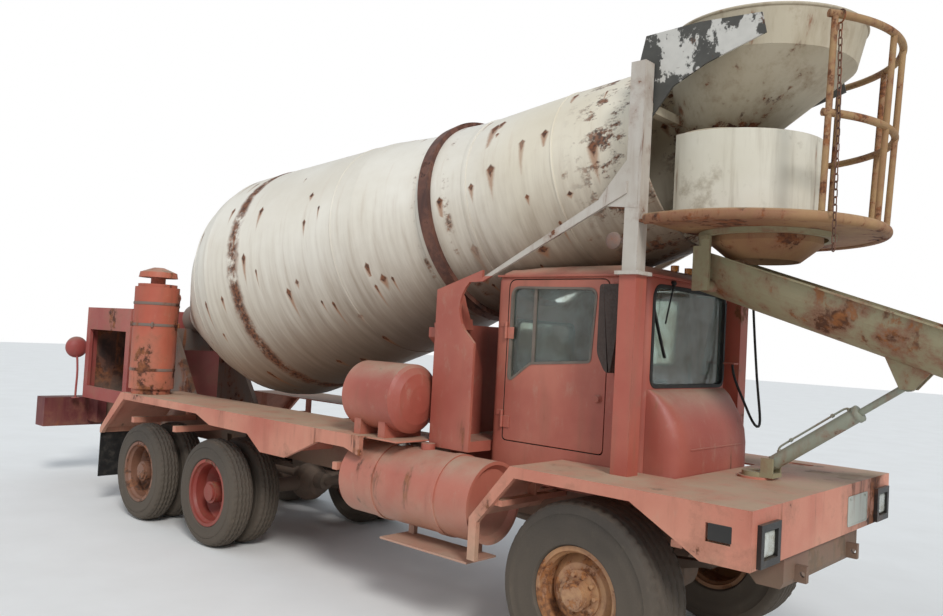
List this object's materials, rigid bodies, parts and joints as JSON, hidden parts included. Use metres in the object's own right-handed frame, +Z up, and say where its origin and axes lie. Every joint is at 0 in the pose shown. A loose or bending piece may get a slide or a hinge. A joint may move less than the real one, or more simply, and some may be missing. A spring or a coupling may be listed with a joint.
{
  "type": "front discharge concrete mixer truck",
  "caption": "Three-axle concrete mixer truck with the cab at the front under the drum's mouth, a swinging chute ahead and the engine at the back.",
  "frame": {"origin": "middle of the bounding box, on the ground under the tyres", "axes": "+X forward to the chute, +Y to the left, +Z up"},
  "size_m": [11.3884, 2.44, 4.371],
  "materials": {
    "red_paint": "faded and dusty",
    "dark_red_paint": "faded and dirty",
    "white_paint": "streaked with rust",
    "rusty_steel": "rusted",
    "black_paint": "dull",
    "bare_steel": "oily",
    "tyre": "dusty",
    "rubber": "dull",
    "glass": "dusty",
    "lamp": "gloss",
    "trim": "worn"
  },
  "bodies": {
    "chassis": {"frame_rails": "red_paint", "nose_beam": "dark_red_paint", "front_axle": "dark_red_paint", "front_springs": "black_paint", "rear_axles": "dark_red_paint", "walking_beams": "dark_red_paint", "driveline": "black_paint", "engine_block": "bare_steel", "radiator": "black_paint", "engine_hood": "red_paint", "rear_bumper": "dark_red_paint", "rear_deck": "red_paint", "mud_flaps": "rubber", "air_cleaner": "red_paint", "front_deck": "red_paint", "headlamps": "black_paint", "cab_shell": "red_paint", "cab_glass": "glass", "marker_lamps": "lamp", "seat": "trim", "steering_wheel": "trim", "fuel_tank": "red_paint", "tank_step": "rusty_steel", "water_tank": "red_paint", "ring_pedestal": "red_paint", "drum_drive": "red_paint", "hopper_posts": "white_paint", "charge_hopper": "white_paint", "mouth_cover": "black_paint", "discharge_tub": "white_paint", "tray": "rusty_steel", "railing": "rusty_steel", "hose_loop": "rubber"},
    "drum": {"drum_shell": "white_paint", "track_ring": "rusty_steel"},
    "roller_r": {"roller_right": "rusty_steel"},
    "roller_l": {"roller_left": "rusty_steel"},
    "steer_r": {"knuckle_right": "bare_steel"},
    "steer_l": {"knuckle_left": "bare_steel"},
    "wheel_front_r": {"front_tyre_right": "tyre", "front_rim_right": "rusty_steel"},
    "wheel_front_l": {"front_tyre_left": "tyre", "front_rim_left": "rusty_steel"},
    "wheel_mid_r": {"tyres_mid_right": "tyre", "rims_mid_right": "dark_red_paint"},
    "wheel_mid_l": {"tyres_mid_left": "tyre", "rims_mid_left": "dark_red_paint"},
    "wheel_back_r": {"tyres_back_right": "tyre", "rims_back_right": "dark_red_paint"},
    "wheel_back_l": {"tyres_back_left": "tyre", "rims_back_left": "dark_red_paint"},
    "door_r": {"door_right": "red_paint", "door_glass_right": "glass"},
    "door_l": {"door_left": "red_paint", "door_glass_left": "glass"},
    "swing": {"swing_frame": "bare_steel"},
    "chute": {"chute_main": "rusty_steel"},
    "extension": {"chute_extension": "rusty_steel"},
    "barrel": {"lift_barrel": "bare_steel"},
    "rod": {"lift_rod": "bare_steel"}
  },
  "joints": [
    {"name": "drum_spin", "type": "hinge", "parent": "chassis", "child": "drum", "pos_m": [1.21977, 0, 3.214], "axis": [0.9799, 0, 0.1994], "continuous": true},
    {"name": "roller_right_spin", "type": "hinge", "parent": "chassis", "child": "roller_r", "pos_m": [1.3744, -0.65082, 2.45395], "axis": [0.9799, 0, 0.1994], "continuous": true},
    {"name": "roller_left_spin", "type": "hinge", "parent": "chassis", "child": "roller_l", "pos_m": [1.3744, 0.65082, 2.45395], "axis": [0.9799, 0, 0.1994], "continuous": true},
    {"name": "steer_right", "type": "hinge", "parent": "chassis", "child": "steer_r", "pos_m": [3.05577, -0.69, 0.588], "axis": [0, 0, 1], "range_deg": [-26, 26]},
    {"name": "steer_left", "type": "hinge", "parent": "chassis", "child": "steer_l", "pos_m": [3.05577, 0.69, 0.588], "axis": [0, 0, 1], "range_deg": [-26, 26]},
    {"name": "front_right_roll", "type": "hinge", "parent": "steer_r", "child": "wheel_front_r", "pos_m": [3.05577, -0.958, 0.588], "axis": [0, 1, 0], "continuous": true},
    {"name": "front_left_roll", "type": "hinge", "parent": "steer_l", "child": "wheel_front_l", "pos_m": [3.05577, 0.958, 0.588], "axis": [0, 1, 0], "continuous": true},
    {"name": "mid_right_roll", "type": "hinge", "parent": "chassis", "child": "wheel_mid_r", "pos_m": [-1.27823, -0.9275, 0.52], "axis": [0, 1, 0], "continuous": true},
    {"name": "mid_left_roll", "type": "hinge", "parent": "chassis", "child": "wheel_mid_l", "pos_m": [-1.27823, 0.9275, 0.52], "axis": [0, 1, 0], "continuous": true},
    {"name": "back_right_roll", "type": "hinge", "parent": "chassis", "child": "wheel_back_r", "pos_m": [-2.68223, -0.9275, 0.52], "axis": [0, 1, 0], "continuous": true},
    {"name": "back_left_roll", "type": "hinge", "parent": "chassis", "child": "wheel_back_l", "pos_m": [-2.68223, 0.9275, 0.52], "axis": [0, 1, 0], "continuous": true},
    {"name": "door_right_swing", "type": "hinge", "parent": "chassis", "child": "door_r", "pos_m": [1.94577, -0.624, 1.9], "axis": [0, 0, -1], "range_deg": [0, 70]},
    {"name": "door_left_swing", "type": "hinge", "parent": "chassis", "child": "door_l", "pos_m": [1.94577, 0.624, 1.9], "axis": [0, 0, 1], "range_deg": [0, 70]},
    {"name": "chute_slew", "type": "hinge", "parent": "chassis", "child": "swing", "pos_m": [3.70577, 0, 2.2], "axis": [0, 0, 1], "range_deg": [-90, 90]},
    {"name": "chute_lift", "type": "hinge", "parent": "swing", "child": "chute", "pos_m": [3.41577, 0, 2.62], "axis": [0, 1, 0], "range_deg": [-12, 12]},
    {"name": "chute_fold", "type": "hinge", "parent": "chute", "child": "extension", "pos_m": [5.01967, 0, 2.36118], "axis": [0, -1, 0], "range_deg": [0, 175]},
    {"name": "lift_barrel_tilt", "type": "hinge", "parent": "swing", "child": "barrel", "pos_m": [3.80577, 0, 1.43], "axis": [0, 1, 0], "range_deg": [-12, 12]},
    {"name": "lift_rod_slide", "type": "slide", "parent": "barrel", "child": "rod", "axis": [0.8104, 0, 0.5858], "range_m": [-0.27, 0.27]}
  ],
  "couplings": [
    {"joint": "roller_right_spin", "follows": "drum_spin", "ratio": -7.4333},
    {"joint": "roller_left_spin", "follows": "drum_spin", "ratio": -7.4333},
    {"joint": "steer_left", "follows": "steer_right", "ratio": 1},
    {"joint": "lift_barrel_tilt", "follows": "chute_lift", "ratio": 0.63651},
    {"joint": "lift_rod_slide", "follows": "chute_lift", "m_per_rad": -1.1903}
  ]
}
